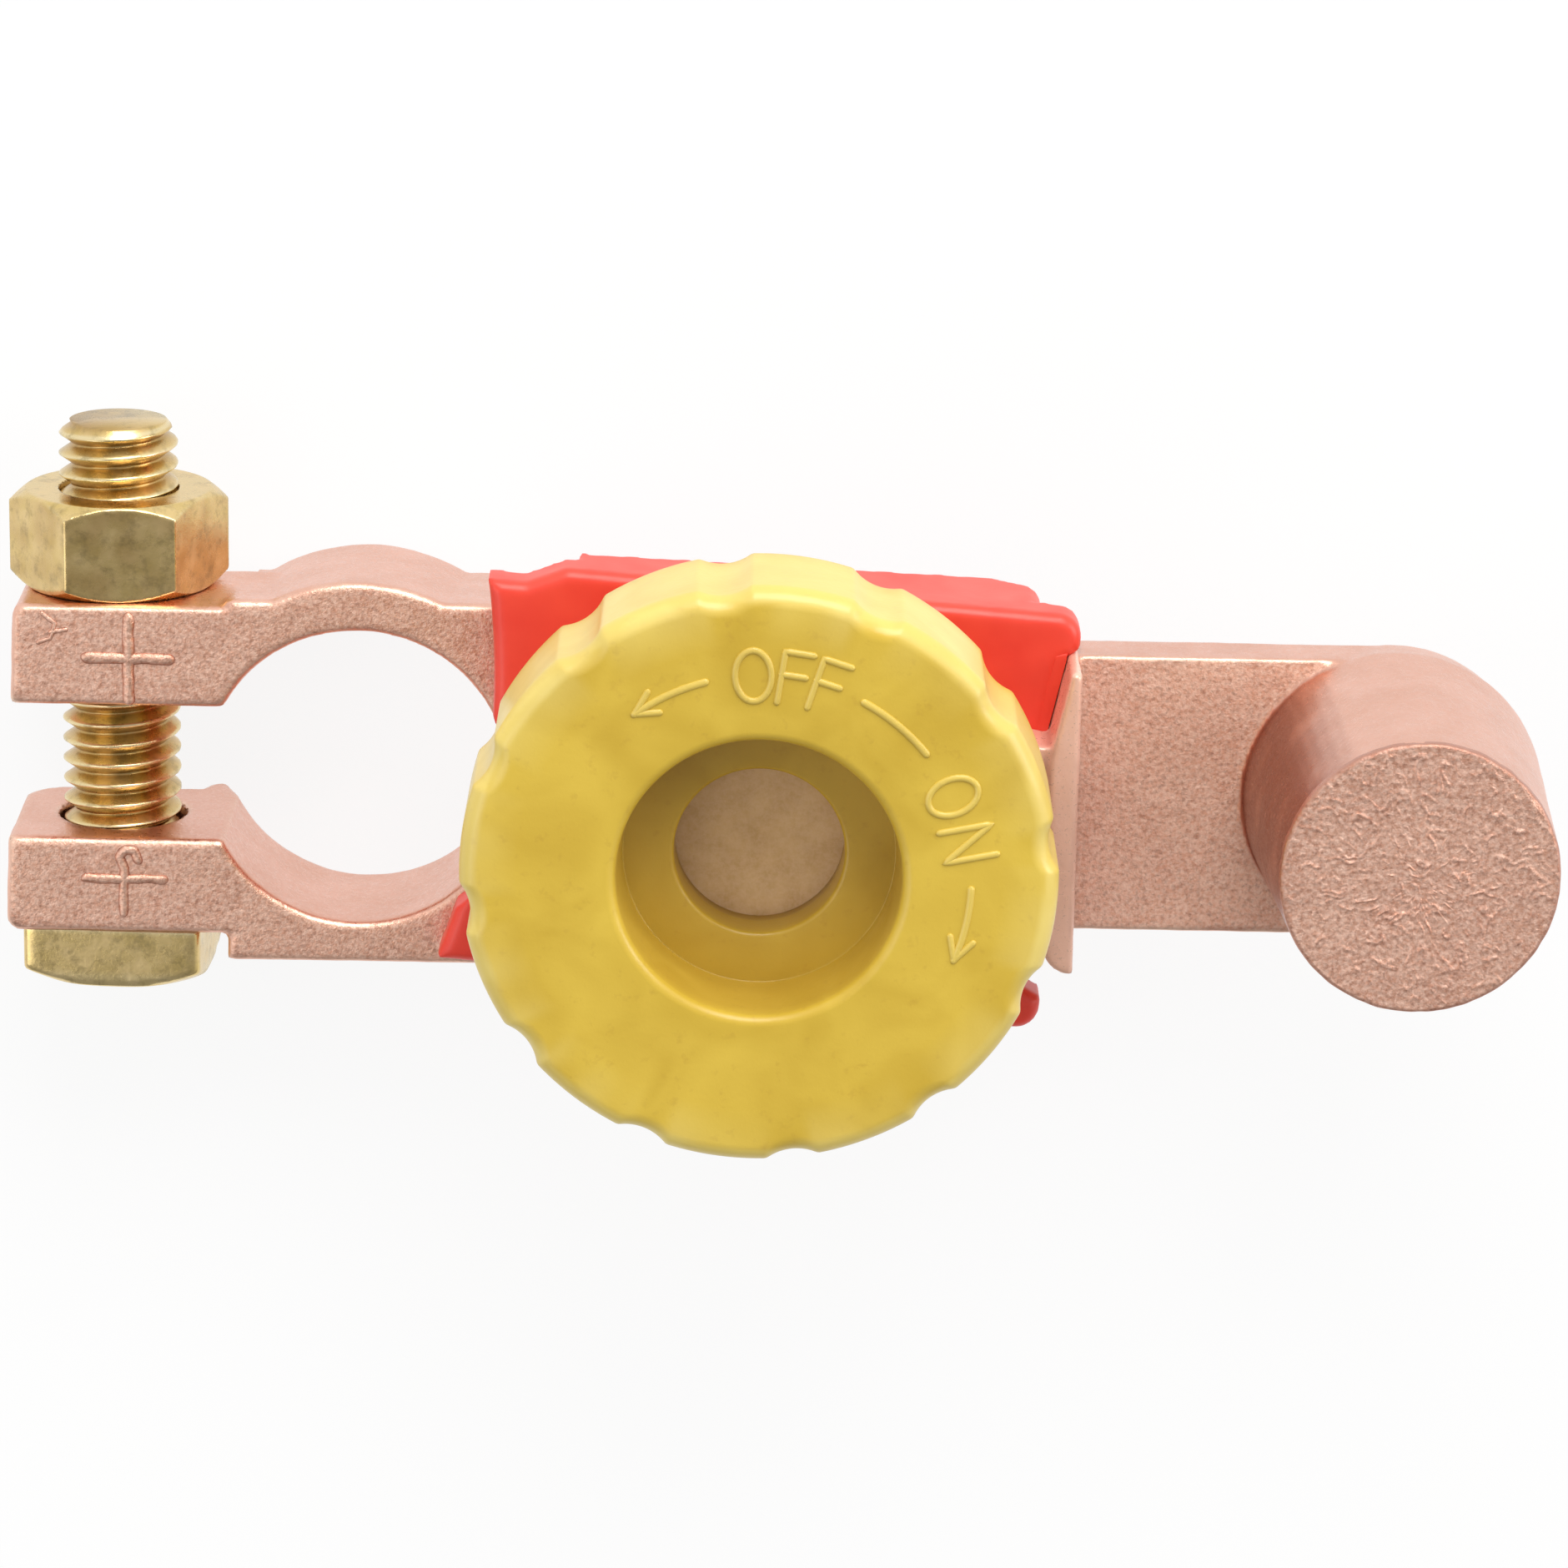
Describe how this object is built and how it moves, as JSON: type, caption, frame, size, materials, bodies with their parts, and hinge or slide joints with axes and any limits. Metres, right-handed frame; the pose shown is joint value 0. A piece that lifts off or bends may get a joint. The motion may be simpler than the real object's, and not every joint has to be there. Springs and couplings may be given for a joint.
{
  "type": "battery disconnect switch",
  "caption": "Battery terminal disconnect switch: split clamp for a battery post, knob-operated screw contact, and an arm with a tapered post for the cable clamp",
  "frame": {"origin": "on the axis of the clamp bore, half way up the clamp, in the plane between its underside and its front face", "axes": "+Z from the clamp's underside to the knob, +X from the clamp to the arm's post, +Y across, towards the clamp nut"},
  "size_m": [0.1028, 0.0417, 0.0352],
  "materials": {
    "copper_casting": "copper plate on a sand-blasted zinc casting",
    "red_plastic": "moulded, satin",
    "brass_bush": "turned",
    "contact_metal": "fine-grained, dull",
    "spring_steel": "blued",
    "yellow_plastic": "moulded, satin",
    "passivated_steel": "yellow zinc passivation"
  },
  "bodies": {
    "base": {"clamp_body": "copper_casting", "post_arm": "copper_casting", "insulator": "red_plastic", "thread_insert": "brass_bush"},
    "contact": {"contact_disc": "contact_metal"},
    "knob": {"knob": "yellow_plastic", "contact_stud": "contact_metal", "stud_clip": "spring_steel"},
    "nut": {"clamp_nut": "passivated_steel"},
    "bolt": {"clamp_bolt": "passivated_steel"}
  },
  "joints": [
    {"name": "contact_lift", "type": "slide", "parent": "base", "child": "contact", "axis": [0, 0, 1], "range_m": [0, 0.003]},
    {"name": "knob_turn", "type": "hinge", "parent": "contact", "child": "knob", "pos_m": [0.0269, 0, 0.0169], "axis": [0, 0, 1], "range_deg": [0, 720]},
    {"name": "bolt_slide", "type": "slide", "parent": "base", "child": "bolt", "axis": [0, -1, 0], "range_m": [0, 0.00423]},
    {"name": "nut_turn", "type": "hinge", "parent": "base", "child": "nut", "pos_m": [-0.0164, 0.0149, 0.0001], "axis": [0, 1, 0], "range_deg": [0, 1080]}
  ],
  "couplings": [
    {"joint": "knob_turn", "follows": "contact_lift", "rad_per_m": 4188.8},
    {"joint": "nut_turn", "follows": "bolt_slide", "rad_per_m": 4453}
  ]
}
